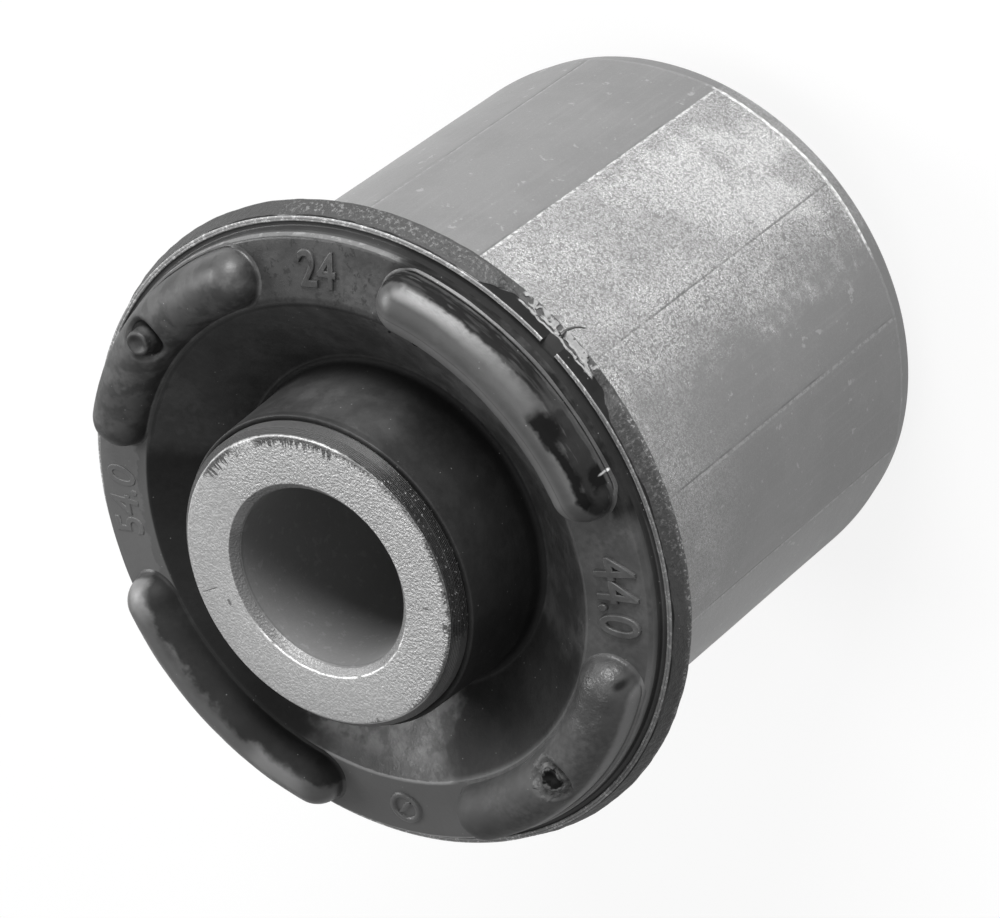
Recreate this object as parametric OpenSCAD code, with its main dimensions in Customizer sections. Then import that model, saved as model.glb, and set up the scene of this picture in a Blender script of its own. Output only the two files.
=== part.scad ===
/* [Inner sleeve] */
// Bolt hole through the inner sleeve, for an M14 bolt
bore_d = 14.2; // [10:0.1:18]
// Outside diameter of the inner sleeve
inner_sleeve_d = 24; // [22:0.1:25]
// Length of the inner sleeve, from end face to end face
inner_sleeve_length = 54; // [50:0.5:70]
// Chamfer at each mouth of the bolt hole
bore_chamfer = 0.65; // [0.2:0.05:1.2]
// Chamfer round each end face
end_chamfer = 0.65; // [0.2:0.05:1.2]

/* [Outer sleeve] */
// Press-fit diameter of the outer sleeve
outer_sleeve_d = 44; // [43:0.1:45]
// Wall of the outer sleeve
outer_sleeve_wall = 2; // [1.2:0.1:2.6]
// Length of the outer sleeve, from its rear end to the back of the flange
outer_sleeve_length = 38.3; // [30:0.1:40]
// Number of swaging jaws that closed the sleeve
jaw_count = 12; // [8:1:16]
// Turn of the first line between two jaws, from +X
jaw_turn = 23.3; // [0:0.1:44]
// Width of the line that the gap between two jaws left
jaw_line_width = 0.5; // [0.2:0.05:1]
// Depth of that line
jaw_line_depth = 0.08; // [0.04:0.01:0.2]
// Length behind the flange that the jaws did not reach
jaw_line_gap = 3; // [2:0.1:6]
// Length of the bevel that leads the rear end into its bore
lead_in_length = 1.6; // [0.8:0.1:3]
// Depth of that bevel on the radius
lead_in_depth = 0.45; // [0.2:0.05:1]

/* [Flange] */
// Diameter of the flange
flange_d = 49.8; // [48.8:0.1:50.2]
// Thickness of the flange
flange_thickness = 2; // [1.2:0.1:2.4]
// Inside radius of the bend from the sleeve into the flange
flange_bend = 2.6; // [1.5:0.1:3]
// Outside radius in the corner behind the flange
flange_fillet = 1; // [0.5:0.1:1.2]

/* [Rubber collar] */
// Diameter of the sharp ridge round the collar
ridge_d = 50.4; // [50.3:0.1:51.2]
// Width of the flat top of the ridge
ridge_width = 0.3; // [0.2:0.05:0.4]
// Diameter of the collar's rim
rim_d = 51.8; // [51.6:0.1:53]
// Height of the rim, from its lower edge to the ridge
rim_height = 2.2; // [1.6:0.1:2.6]
// Rounding of the rim's lower edge
rim_round = 0.4; // [0.2:0.05:0.5]
// Outer diameter of the raised annulus
annulus_outer_d = 48.6; // [48.2:0.1:48.8]
// Height of the annulus over the ridge, at its outer edge
annulus_outer_rise = 1.15; // [0.8:0.05:1.5]
// Height of the annulus over the ridge, at its inner edge
annulus_inner_rise = 1.8; // [1.5:0.05:2.2]
// Bevel round the annulus's outer edge
annulus_bevel = 0.25; // [0.1:0.05:0.35]
// Depth of the groove between the annulus and the ridge
groove_depth = 0.15; // [0.05:0.05:0.3]
// Rubber between the ridge's plane and the flange
rubber_on_flange = 0.6; // [0.4:0.1:1]

/* [Rubber recesses] */
// Height of the inner sleeve's front face over the ridge
front_stand_out = 7.4; // [6:0.1:9]
// Diameter of the lip round the front recess
lip_d = 38.6; // [37.6:0.1:39]
// Length along each slope that the lip's bevel takes
lip_bevel = 0.15; // [0.05:0.05:0.15]
// Diameter at the bottom of each recess, where it meets the core
crease_d = 25.84; // [25.4:0.02:26.8]
// Depth of the front recess below its lip
front_recess_depth = 4.6; // [3:0.1:8]
// Depth of the rear recess below its lip
rear_recess_depth = 7; // [3:0.1:9]
// Distance from the outer sleeve's rear end in to the rubber
rear_inset = 2.4; // [2:0.1:4]
// Width of the flat rubber ring inside the outer sleeve's rear end
rear_lip_width = 1.2; // [0.6:0.1:2]
// Thickness of the rubber skin on the inner sleeve, at its edge
skin_thickness = 0.42; // [0.3:0.02:0.6]
// Bare steel between each end face and the skin
skin_setback = 1.55; // [1.3:0.05:2.5]

/* [Bumpers] */
// Number of bumpers round the annulus
bumper_count = 4; // [2:1:4]
// Width of a bumper
bumper_width = 4.5; // [4:0.1:4.5]
// Angle that a bumper spans, from tip to tip
bumper_span = 60.4; // [40:0.1:66]
// Diameter of the circle that the bumpers follow
bumper_circle_d = 43.5; // [43.4:0.1:43.6]
// Height of a bumper's straight sides at its middle line, below its dome
bumper_side = 0.25; // [0.1:0.05:0.8]
// Step down from a bumper's middle to its rounded ends, at the mould's inserts
bumper_end_step = 0.02; // [0.01:0.01:0.05]

/* [Mould marks] */
// Diameter of the dimple round each gate
gate_dimple_d = 3.1; // [2:0.1:3.4]
// Depth of that dimple
gate_dimple_depth = 0.9; // [0.4:0.1:1.2]
// How far that dimple widens upward
gate_dimple_flare = 0.6; // [0.2:0.1:1]
// Diameter of the stub left in the gate
gate_stub_d = 1.7; // [1:0.1:1.8]
// Height of the whole stub over the bumper's top
gate_stub_height = 0.5; // [0.2:0.1:1]
// Depth below the bumper's top at which the other stub tore off
torn_stub_depth = 0.3; // [0:0.1:0.6]
// Width of the notch across the ridge
notch_width = 1.5; // [0.8:0.1:3]
// Angle of the notch's floor from level
notch_slope = 42; // [30:1:55]
// Distance of the notch's floor inside the ridge's outer corner
notch_depth = 0.45; // [0.2:0.05:0.6]
// Radius of the blade's path that trimmed the rim behind the notch
trim_radius = 60; // [40:1:120]
// Depth of the trimmed face at its middle
trim_depth = 0.42; // [0.2:0.02:0.6]
// Height of the trimmed face
trim_height = 1.5; // [0.8:0.1:1.6]
// Distance of the trimmed face below the ridge
trim_setback = 0.2; // [0.1:0.05:0.4]

/* [Hidden] */
$fn = 180;
cut = 1;

bore_r = bore_d / 2;
inner_sleeve_r = inner_sleeve_d / 2;
outer_sleeve_r = outer_sleeve_d / 2;
sleeve_bore_r = outer_sleeve_r - outer_sleeve_wall;
flange_r = flange_d / 2;
ridge_r = ridge_d / 2;
rim_r = rim_d / 2;
annulus_outer_r = annulus_outer_d / 2;
lip_r = lip_d / 2;
crease_r = crease_d / 2;
skin_r = inner_sleeve_r + skin_thickness;

ridge_z = inner_sleeve_length - front_stand_out;
flange_top_z = ridge_z - rubber_on_flange;
flange_back_z = flange_top_z - flange_thickness;
sleeve_rear_z = flange_back_z - outer_sleeve_length;
lip_z = ridge_z + annulus_inner_rise;
annulus_edge_z = ridge_z + annulus_outer_rise;
front_crease_z = lip_z - front_recess_depth;
rear_lip_z = sleeve_rear_z + rear_inset;
rear_crease_z = rear_lip_z + rear_recess_depth;
front_skin_z = inner_sleeve_length - skin_setback;
rear_skin_z = skin_setback;

annulus_slope = atan((lip_z - annulus_edge_z) / (annulus_outer_r - lip_r));
recess_slope = atan((lip_z - front_crease_z) / (lip_r - crease_r));
bumper_r = bumper_circle_d / 2;
bumper_dome_r = bumper_width / 2;
bumper_base_z = lip_z - (bumper_r - lip_r) * tan(annulus_slope);
bumper_half_angle = bumper_span / 2 - asin(bumper_dome_r / bumper_r);
bumper_top = bumper_side + bumper_dome_r;
bumper_root = 1.4;
bumper_step = 360 / bumper_count;
notch_turn = -90;
notch_reach = (ridge_r - annulus_outer_r - groove_depth) / 2 + notch_depth;
gate_turn = 0;
torn_gate_turn = 180;

// Half section of the inner sleeve: radius across, height up
module inner_sleeve_section() {
    polygon([
        [bore_r + bore_chamfer, 0],
        [inner_sleeve_r - end_chamfer, 0],
        [inner_sleeve_r, end_chamfer],
        [inner_sleeve_r, inner_sleeve_length - end_chamfer],
        [inner_sleeve_r - end_chamfer, inner_sleeve_length],
        [bore_r + bore_chamfer, inner_sleeve_length],
        [bore_r, inner_sleeve_length - bore_chamfer],
        [bore_r, bore_chamfer]
    ]);
}

// Section of a fillet: a square corner less its quarter circle
module corner(r) {
    difference() {
        square(r);
        translate([r, r])
            circle(r);
    }
}

// Half section of the outer sleeve and its flange
module outer_sleeve_section() {
    difference() {
        union() {
            polygon([
                [sleeve_bore_r, sleeve_rear_z],
                [outer_sleeve_r - lead_in_depth, sleeve_rear_z],
                [outer_sleeve_r, sleeve_rear_z + lead_in_length],
                [outer_sleeve_r, flange_back_z],
                [flange_r, flange_back_z],
                [flange_r, flange_top_z],
                [sleeve_bore_r, flange_top_z]
            ]);
            translate([outer_sleeve_r, flange_back_z])
                mirror([0, 1])
                    corner(flange_fillet);
        }
        translate([sleeve_bore_r, flange_top_z])
            mirror([0, 1])
                corner(flange_bend);
    }
}

// Shallow lines along the outer sleeve, one at the gap between each two jaws
module jaw_lines() {
    line_length = flange_back_z - jaw_line_gap - sleeve_rear_z + cut;
    for (k = [0:jaw_count - 1])
        rotate(jaw_turn + k * 360 / jaw_count)
            translate([outer_sleeve_r, 0, sleeve_rear_z - cut])
                linear_extrude(line_length)
                    polygon([
                        [-jaw_line_depth, 0],
                        [jaw_line_depth, -jaw_line_width],
                        [jaw_line_depth, jaw_line_width]
                    ]);
}

// Half section of everything that the rubber fills, before both sleeves are cut out of it
module rubber_envelope() {
    inside_inner = inner_sleeve_r - cut;
    inside_outer = sleeve_bore_r + cut;
    groove_z = ridge_z - groove_depth;
    polygon([
        [inside_inner, front_skin_z],
        [skin_r, front_skin_z],
        [(skin_r + crease_r) / 2, ridge_z],
        [crease_r, front_crease_z],
        [lip_r - lip_bevel * cos(recess_slope), lip_z - lip_bevel * sin(recess_slope)],
        [lip_r + lip_bevel * cos(annulus_slope), lip_z - lip_bevel * sin(annulus_slope)],
        [annulus_outer_r - annulus_bevel, annulus_edge_z + annulus_bevel * tan(annulus_slope)],
        [annulus_outer_r, annulus_edge_z - annulus_bevel],
        [annulus_outer_r + groove_depth, groove_z],
        [ridge_r - ridge_width - groove_depth, groove_z],
        [ridge_r - ridge_width, ridge_z],
        [ridge_r, ridge_z],
        [rim_r, ridge_z - rim_height + rim_round],
        [rim_r - rim_round, ridge_z - rim_height],
        [inside_outer, ridge_z - rim_height],
        [inside_outer, rear_lip_z],
        [sleeve_bore_r - rear_lip_width, rear_lip_z],
        [crease_r, rear_crease_z],
        [skin_r, rear_skin_z],
        [inside_inner, rear_skin_z]
    ]);
}

// Half section of a bumper about its own upright line: a dome on a straight root
module bumper_half_section(dome_r) {
    intersection() {
        union() {
            translate([0, bumper_side])
                circle(dome_r);
            translate([0, -bumper_root])
                square([dome_r, bumper_root + bumper_side]);
        }
        translate([0, -bumper_root])
            square([dome_r, bumper_root + bumper_side + dome_r]);
    }
}

// A kidney-shaped bumper centred on +X: a swept middle between two domed ends
module bumper() {
    rotate_extrude(angle = 2 * bumper_half_angle, start = -bumper_half_angle)
        translate([bumper_r, bumper_base_z]) {
            bumper_half_section(bumper_dome_r);
            mirror([1, 0])
                bumper_half_section(bumper_dome_r);
        }
    for (end_turn = [0, 180])
        rotate(end_turn == 0 ? bumper_half_angle : -bumper_half_angle)
            translate([bumper_r, 0, bumper_base_z])
                rotate_extrude(angle = 180, start = end_turn)
                    bumper_half_section(bumper_dome_r - bumper_end_step);
}

// What follows stands at the middle of a bumper's top
module at_gate(turn) {
    rotate(turn)
        translate([bumper_r, 0, bumper_base_z + bumper_top])
            children();
}

// Dimple that keeps the gate below the bumper's top
module gate_dimple() {
    translate([0, 0, -gate_dimple_depth])
        cylinder(
            h = gate_dimple_depth + cut,
            d1 = gate_dimple_d - gate_dimple_flare,
            d2 = gate_dimple_d + gate_dimple_flare
        );
}

// Stub of rubber left in the gate, with its upper end at the given height over the bumper
module gate_stub(top) {
    stub_root = gate_dimple_depth + cut / 2;
    translate([0, 0, -stub_root])
        cylinder(h = stub_root + top, d = gate_stub_d);
}

// Notch across the ridge, with a sloping floor
module notch() {
    rotate(notch_turn)
        translate([ridge_r, 0, ridge_z])
            rotate([0, notch_slope, 0])
                translate([-notch_reach, -notch_width / 2, -notch_depth])
                    cube([notch_reach + 3 * cut, notch_width, 2 * cut]);
}

// Shallow hollow that a blade left on the rim below the ridge
module rim_trim() {
    face_r = (ridge_r + rim_r) / 2 - trim_depth;
    rotate(notch_turn)
        translate([0, 0, ridge_z - trim_setback - trim_height])
            difference() {
                translate([face_r - cut, -ridge_r / 2, 0])
                    cube([3 * cut, ridge_r, trim_height]);
                translate([face_r - trim_radius, 0, -cut])
                    cylinder(h = trim_height + 2 * cut, r = trim_radius);
            }
}

module inner_sleeve() {
    color("silver")
        rotate_extrude()
            inner_sleeve_section();
}

module outer_sleeve() {
    color("darkgray")
        difference() {
            rotate_extrude()
                outer_sleeve_section();
            jaw_lines();
        }
}

module rubber_body() {
    color("dimgray")
        difference() {
            union() {
                difference() {
                    union() {
                        rotate_extrude()
                            difference() {
                                rubber_envelope();
                                inner_sleeve_section();
                                outer_sleeve_section();
                            }
                        for (k = [0:bumper_count - 1])
                            rotate(k * bumper_step)
                                bumper();
                    }
                    at_gate(gate_turn)
                        gate_dimple();
                    at_gate(torn_gate_turn)
                        gate_dimple();
                }
                at_gate(gate_turn)
                    gate_stub(gate_stub_height);
                at_gate(torn_gate_turn)
                    gate_stub(-torn_stub_depth);
            }
            notch();
            rim_trim();
        }
}

inner_sleeve();
rubber_body();
outer_sleeve();
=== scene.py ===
import math

import bmesh
import bpy
import numpy as np
from mathutils import Matrix, Vector, noise


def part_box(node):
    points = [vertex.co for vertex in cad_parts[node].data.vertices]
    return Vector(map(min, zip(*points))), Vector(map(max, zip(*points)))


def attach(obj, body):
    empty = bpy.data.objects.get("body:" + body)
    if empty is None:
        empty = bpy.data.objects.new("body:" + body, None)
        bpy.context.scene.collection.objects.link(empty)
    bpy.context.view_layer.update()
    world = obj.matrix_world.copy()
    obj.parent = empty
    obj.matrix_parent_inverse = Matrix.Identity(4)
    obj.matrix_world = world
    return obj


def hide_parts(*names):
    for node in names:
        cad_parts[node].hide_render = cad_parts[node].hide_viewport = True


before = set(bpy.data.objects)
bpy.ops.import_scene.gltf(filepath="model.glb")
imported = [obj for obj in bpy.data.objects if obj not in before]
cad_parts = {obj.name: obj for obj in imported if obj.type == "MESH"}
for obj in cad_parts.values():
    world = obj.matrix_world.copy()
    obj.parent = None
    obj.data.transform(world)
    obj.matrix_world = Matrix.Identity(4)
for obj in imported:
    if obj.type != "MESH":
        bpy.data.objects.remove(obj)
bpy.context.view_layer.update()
mm = 0.001

# sizes in millimetres and turns in degrees from +X, as the CAD model has them
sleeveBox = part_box("inner_sleeve")
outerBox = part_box("outer_sleeve")
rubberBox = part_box("rubber_body")
frontZ = sleeveBox[1][2] / mm
innerRadius = sleeveBox[1][0] / mm
flangeRadius = outerBox[1][0] / mm
flangeTop = outerBox[1][2] / mm
rearZ = outerBox[0][2] / mm
rimRadius = rubberBox[1][0] / mm

inner = {
    "bore": 7.1,
    "boreChamfer": 0.65,
    "endChamfer": 0.62,
    "edgeRound": 0.16,
    "columns": 360,
}
outer = {
    "radius": 22.0,
    "wall": 2.0,
    "flangeThickness": 2.0,
    "bend": 2.6,
    "fillet": 1.0,
    "leadIn": (1.6, 0.45),
    "jaws": 12,
    "firstLine": 23.3,
    "flatness": 0.15,  # how far a jaw's face lies inside the round
    "lineDepth": 0.05,
    "lineWidth": 0.30,
    "unswaged": 3.0,
    "columnStep": 0.6,
}
collar = {
    "ridgeZ": frontZ - 7.4,
    "ridgeRadius": 25.2,
    "ridgeWidth": 0.3,
    "grooveDepth": 0.15,
    "annulusRadius": 24.3,
    "annulusRise": 1.15,
    "annulusBevel": 0.25,
    "lipRadius": 19.3,
    "lipRise": 1.8,
    "lipRound": 0.4,
    "creaseRadius": 12.92,
    "frontRecess": 4.6,
    "rearRecess": 7.0,
    "rearInset": 2.4,
    "rearLip": 1.2,
    "skin": 0.42,
    "skinSetback": 1.55,
    "rimHeight": 2.2,
    "rimRound": 0.4,
}
bumper = {
    "turns": (-90, 0, 90, 180),
    "circle": 21.75,
    "radius": 2.25,
    "side": 0.25,
    "span": 60.4,
    "foot": 0.3,
}
gates = {
    "turns": (0, 180),
    "dimple": 1.65,
    "depth": 0.62,
    "stub": 0.95,
    "stubHeights": (0.5, -0.25),  # the second one tore off below the bumper's top
}
notch = {"turn": -90.6, "width": 1.45, "slope": 42, "depth": 0.5}
trim = {"low": -104.9, "high": -76.3, "depth": 0.4, "drop": 1.5}  # where a blade cut the rim back
marks = {"radius": 21.8, "inner": "24", "outer": "44.0", "length": "54.0"}
camera = {
    "place": (-0.033718, -0.248700, 0.294459),
    "forward": (0.089805, 0.684063, -0.723874),
    "up": (0.727988, -0.541090, -0.421016),
    "lens": 174.72,
}

ridgeZ = collar["ridgeZ"]
ridgeRadius = collar["ridgeRadius"]
sleeveBore = outer["radius"] - outer["wall"]
rearLipZ = rearZ + collar["rearInset"]
halfNotch = math.degrees(notch["width"] / 2 / ridgeRadius)
halfway = 40.0  # a height that everything at the flanged end lies above
beyond = 99.0  # past every radius and height, for the open end of a band


def filletOutline(corners, stepTurn=14.0):
    # corners are (radius, height, rounding); a rounded corner becomes an arc
    points = []
    count = len(corners)
    for i, (x, y, rounding) in enumerate(corners):
        here = Vector((x, y))
        if rounding <= 0:
            points.append(here)
            continue
        before = Vector(corners[i - 1][:2]) - here
        after = Vector(corners[(i + 1) % count][:2]) - here
        half = before.angle(after) / 2
        reach = min(rounding / math.tan(half), before.length * 0.49, after.length * 0.49)
        radius = reach * math.tan(half)
        inward = (before.normalized() + after.normalized()).normalized()
        centre = here + inward * (radius / math.sin(half))
        start = here + before.normalized() * reach - centre
        end = here + after.normalized() * reach - centre
        swing = math.atan2(start.x * end.y - start.y * end.x, start.dot(end))
        steps = max(2, round(abs(math.degrees(swing)) / stepTurn))
        for k in range(steps + 1):
            turned = Matrix.Rotation(swing * k / steps, 2) @ start
            points.append(centre + turned)
    return points


def subdivided(points, longest):
    # long straight stretches get more points, so that unevenness can bend them
    out = []
    for i, here in enumerate(points):
        there = points[(i + 1) % len(points)]
        pieces = max(1, math.ceil((there - here).length / longest))
        for k in range(pieces):
            out.append(here.lerp(there, k / pieces))
    return out


def turnList(parts):
    # parts are (start, end, step) in degrees; together they go once round
    out = []
    for start, end, step in parts:
        count = max(1, round((end - start) / step))
        out += [start + (end - start) * k / count for k in range(count)]
    return [math.radians(t) for t in out]


def stripFaces(rows, columns, closed):
    # four-sided faces between rows of points side by side; closed joins the last row to the first
    faces = []
    for i in range(columns):
        beside = (i + 1) % columns
        for j in range(rows if closed else rows - 1):
            above = (j + 1) % rows
            faces.append((i * rows + j, i * rows + above, beside * rows + above, beside * rows + j))
    return faces


def newPiece(name, vertices, faces, material, slotName, *nodes):
    mesh = bpy.data.meshes.new(name)
    mesh.from_pydata([tuple(c * mm for c in v) for v in vertices], [], faces)
    mesh.validate()
    mesh.shade_smooth()
    piece = bpy.data.objects.new(name, mesh)
    bpy.context.scene.collection.objects.link(piece)
    mesh.materials.append(material)
    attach(piece, "root")
    if nodes:
        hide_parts(*nodes)
    return piece


def lathe(outline, turns, shape):
    # a closed outline turned about the upright axis; shape moves each point a little
    vertices = []
    for turn in turns:
        for point in outline:
            r, z, t = shape(point.x, point.y, turn)
            vertices.append((r * math.cos(t), r * math.sin(t), z))
    return vertices, stripFaces(len(outline), len(turns), True)


def wander(x, y, z, scale, seed=0.0):
    return noise.noise(Vector((x * scale + seed, y * scale - seed, z * scale + 2 * seed)))


def blendStep(low, high, value):
    share = min(1.0, max(0.0, (value - low) / (high - low)))
    return share * share * (3 - 2 * share)


# shader helpers


def addNode(tree, kind, **settings):
    made = tree.nodes.new(kind)
    for key, value in settings.items():
        setattr(made, key, value)
    return made


def treeOf(*values):
    # the node tree of the first socket among the values
    return next(value.id_data for value in values if isinstance(value, bpy.types.NodeSocket))


def feed(socket, value):
    if isinstance(value, bpy.types.NodeSocket):
        socket.id_data.links.new(value, socket)
    else:
        socket.default_value = value


def maths(operation, *values):
    made = addNode(treeOf(*values), "ShaderNodeMath", operation=operation)
    for socket, value in zip(made.inputs, values):
        feed(socket, value)
    return made.outputs[0]


def mixColour(factor, low, high):
    made = addNode(treeOf(factor), "ShaderNodeMix", data_type="RGBA")
    feed(made.inputs[0], factor)
    feed(made.inputs[6], low)
    feed(made.inputs[7], high)
    return made.outputs[2]


def mixValue(factor, low, high):
    made = addNode(treeOf(factor), "ShaderNodeMix", data_type="FLOAT")
    feed(made.inputs[0], factor)
    feed(made.inputs[2], low)
    feed(made.inputs[3], high)
    return made.outputs[0]


def ramp(value, low, high):
    made = addNode(treeOf(value), "ShaderNodeMapRange", interpolation_type="SMOOTHSTEP")
    feed(made.inputs["Value"], value)
    feed(made.inputs["From Min"], low)
    feed(made.inputs["From Max"], high)
    return made.outputs["Result"]


def grey(level):
    return (level, level, level, 1.0)


def both(*masks):
    joined = masks[0]
    for mask in masks[1:]:
        joined = maths("MULTIPLY", joined, mask)
    return joined


def either(*masks):
    joined = masks[0]
    for mask in masks[1:]:
        joined = maths("MAXIMUM", joined, mask)
    return joined


def part(mask, share):
    return maths("MULTIPLY", mask, share)


def opposite(mask):
    return maths("SUBTRACT", 1.0, mask)


def drift(cloud, reach):
    # a cloud's height as a shift to either side
    return maths("MULTIPLY", maths("SUBTRACT", cloud, 0.5), reach)


def tinted(mask, share, colour, level):
    # the colour taken towards a grey where the mask is up
    return mixColour(part(mask, share), colour, grey(level))


def hypotenuse(x, y):
    return maths("SQRT", maths("ADD", both(x, x), both(y, y)))


def objectPlace(tree):
    return addNode(tree, "ShaderNodeTexCoord").outputs["Object"]


# node groups that the materials share


def newGroup(name, inputs, outputs):
    tree = bpy.data.node_groups.new(name, "ShaderNodeTree")
    for label, value in inputs.items():
        socket = tree.interface.new_socket(name=label, in_out="INPUT", socket_type="NodeSocketFloat")
        socket.default_value = value
    for label in outputs:
        tree.interface.new_socket(name=label, in_out="OUTPUT", socket_type="NodeSocketFloat")
    return tree, addNode(tree, "NodeGroupInput"), addNode(tree, "NodeGroupOutput")


def place(tree, group, **values):
    made = addNode(tree, "ShaderNodeGroup", node_tree=group)
    for label, value in values.items():
        feed(made.inputs[label], value)
    return made.outputs


def makePlaceGroup():
    # radius and height in millimetres, and the turn in degrees from +X: -180 to 180, and 0 to 360 all round
    tree, _, out = newGroup("placeOnBush", {}, ["Radius", "Height", "Turn", "Round"])
    split = addNode(tree, "ShaderNodeSeparateXYZ")
    feed(split.inputs[0], objectPlace(tree))
    x, y, z = split.outputs
    feed(out.inputs["Radius"], maths("DIVIDE", hypotenuse(x, y), mm))
    feed(out.inputs["Height"], maths("DIVIDE", z, mm))
    turn = maths("DEGREES", maths("ARCTAN2", y, x))
    feed(out.inputs["Turn"], turn)
    feed(out.inputs["Round"], maths("MODULO", maths("ADD", turn, 360.0), 360.0))
    return tree


def makeBandGroup():
    # 1 between two values, with soft edges that a cloud makes wander
    inputs = {"Value": 0.0, "Low": 0.0, "High": 1.0, "Soft": 0.1, "Wander": 0.0, "Cloud": 0.5}
    tree, given, out = newGroup("wanderingBand", inputs, ["Mask"])
    shift = drift(given.outputs["Cloud"], given.outputs["Wander"])
    value = maths("ADD", given.outputs["Value"], shift)
    low, high, soft = (given.outputs[label] for label in ("Low", "High", "Soft"))
    rise = ramp(value, maths("SUBTRACT", low, soft), maths("ADD", low, soft))
    fall = ramp(value, maths("SUBTRACT", high, soft), maths("ADD", high, soft))
    feed(out.inputs["Mask"], both(rise, opposite(fall)))
    return tree


def makeGrainGroup():
    # grain of one size: its height, its highest specks, and the squiggles where it crosses its middle
    inputs = {"Scale": 2000.0, "Roughness": 0.6, "Low": 0.5, "High": 0.7, "Line": 0.03}
    tree, given, out = newGroup("surfaceGrain", inputs, ["Height", "Specks", "Squiggles"])
    cloud = addNode(tree, "ShaderNodeTexNoise")
    feed(cloud.inputs["Vector"], objectPlace(tree))
    feed(cloud.inputs["Scale"], given.outputs["Scale"])
    feed(cloud.inputs["Roughness"], given.outputs["Roughness"])
    cloud.inputs["Detail"].default_value = 3
    height = cloud.outputs["Fac"]
    feed(out.inputs["Height"], height)
    feed(out.inputs["Specks"], ramp(height, given.outputs["Low"], given.outputs["High"]))
    off = maths("ABSOLUTE", maths("SUBTRACT", height, 0.5))
    feed(out.inputs["Squiggles"], opposite(ramp(off, 0.0, given.outputs["Line"])))
    return tree


def makeStreakGroup():
    # streaks drawn out along the upright axis or round it
    inputs = {"Around": 1.0, "Upward": 1.0, "Outward": 1.0}
    tree, given, out = newGroup("drawnStreaks", inputs, ["Height"])
    where = place(tree, placeGroup)
    spot = addNode(tree, "ShaderNodeCombineXYZ")
    for k, (label, stretch) in enumerate(zip(("Turn", "Height", "Radius"), inputs)):
        feed(spot.inputs[k], both(where[label], given.outputs[stretch]))
    cloud = addNode(tree, "ShaderNodeTexNoise")
    feed(cloud.inputs["Vector"], spot.outputs[0])
    cloud.inputs["Scale"].default_value = 1.0
    cloud.inputs["Detail"].default_value = 3
    feed(out.inputs["Height"], cloud.outputs["Fac"])
    return tree


def makeDotGroup():
    # scattered round dots
    tree, given, out = newGroup("scatteredDots", {"Scale": 1500.0, "Size": 0.09}, ["Mask"])
    cells = addNode(tree, "ShaderNodeTexVoronoi")
    feed(cells.inputs["Vector"], objectPlace(tree))
    feed(cells.inputs["Scale"], given.outputs["Scale"])
    size = given.outputs["Size"]
    apart = ramp(cells.outputs["Distance"], part(size, 0.5), size)
    feed(out.inputs["Mask"], opposite(apart))
    return tree


def makeDustGroup():
    # soft clouds of dust, thicker on what faces up
    tree, given, out = newGroup("dustVeil", {"Scale": 180.0, "Amount": 0.5, "Facing": 0.4}, ["Mask"])
    where = objectPlace(tree)
    wide = addNode(tree, "ShaderNodeTexNoise")
    fine = addNode(tree, "ShaderNodeTexNoise")
    for cloud, factor in ((wide, 1.0), (fine, 11.0)):
        feed(cloud.inputs["Vector"], where)
        feed(cloud.inputs["Scale"], part(given.outputs["Scale"], factor))
        cloud.inputs["Detail"].default_value = 4
    normal = addNode(tree, "ShaderNodeSeparateXYZ")
    feed(normal.inputs[0], addNode(tree, "ShaderNodeNewGeometry").outputs["Normal"])
    lying = mixValue(given.outputs["Facing"], 1.0, ramp(normal.outputs["Z"], 0.0, 1.0))
    clouds = both(ramp(wide.outputs["Fac"], 0.38, 0.68), ramp(fine.outputs["Fac"], 0.3, 0.7))
    feed(out.inputs["Mask"], both(clouds, lying, given.outputs["Amount"]))
    return tree


placeGroup = makePlaceGroup()
bandGroup = makeBandGroup()
grainGroup = makeGrainGroup()
streakGroup = makeStreakGroup()
dotGroup = makeDotGroup()
dustGroup = makeDustGroup()


def band(value, low, high, soft, reach=0.0, cloud=0.5):
    limits = {"Low": low, "High": high, "Soft": soft}
    return place(treeOf(value), bandGroup, Value=value, Wander=reach, Cloud=cloud, **limits)["Mask"]


def grain(tree, scale, roughness=0.6, low=0.5, high=0.7, line=0.03):
    return place(tree, grainGroup, Scale=scale, Roughness=roughness, Low=low, High=high, Line=line)


def streaks(tree, around, upward, outward):
    return place(tree, streakGroup, Around=around, Upward=upward, Outward=outward)["Height"]


def dots(tree, scale, size):
    return place(tree, dotGroup, Scale=scale, Size=size)["Mask"]


def placesOnBush(tree):
    where = place(tree, placeGroup)
    return {label.lower(): where[label] for label in ("Radius", "Height", "Turn", "Round")}


def zone(spots, **limits):
    # 1 inside every limit: (low, high, soft edge), and how far the edge wanders with which cloud
    masks = []
    for label, (low, high, soft, *wandering) in limits.items():
        reach, cloud = (wandering[0], spots[wandering[1]]) if wandering else (0.0, 0.5)
        masks.append(band(spots[label], low, high, soft, reach, cloud))
    return both(*masks)


def away(tree, x, y):
    # level distance from an upright line, in millimetres
    split = addNode(tree, "ShaderNodeSeparateXYZ")
    feed(split.inputs[0], objectPlace(tree))
    dx = maths("SUBTRACT", maths("DIVIDE", split.outputs[0], mm), x)
    dy = maths("SUBTRACT", maths("DIVIDE", split.outputs[1], mm), y)
    return hypotenuse(dx, dy)


def newMaterial(name, metallic=0.0, specular=0.5):
    material = bpy.data.materials.new(name)
    material.use_nodes = True
    tree = material.node_tree
    shader = tree.nodes["Principled BSDF"]
    shader.inputs["Metallic"].default_value = metallic
    shader.inputs["Specular IOR Level"].default_value = specular
    return material, tree, shader


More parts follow.
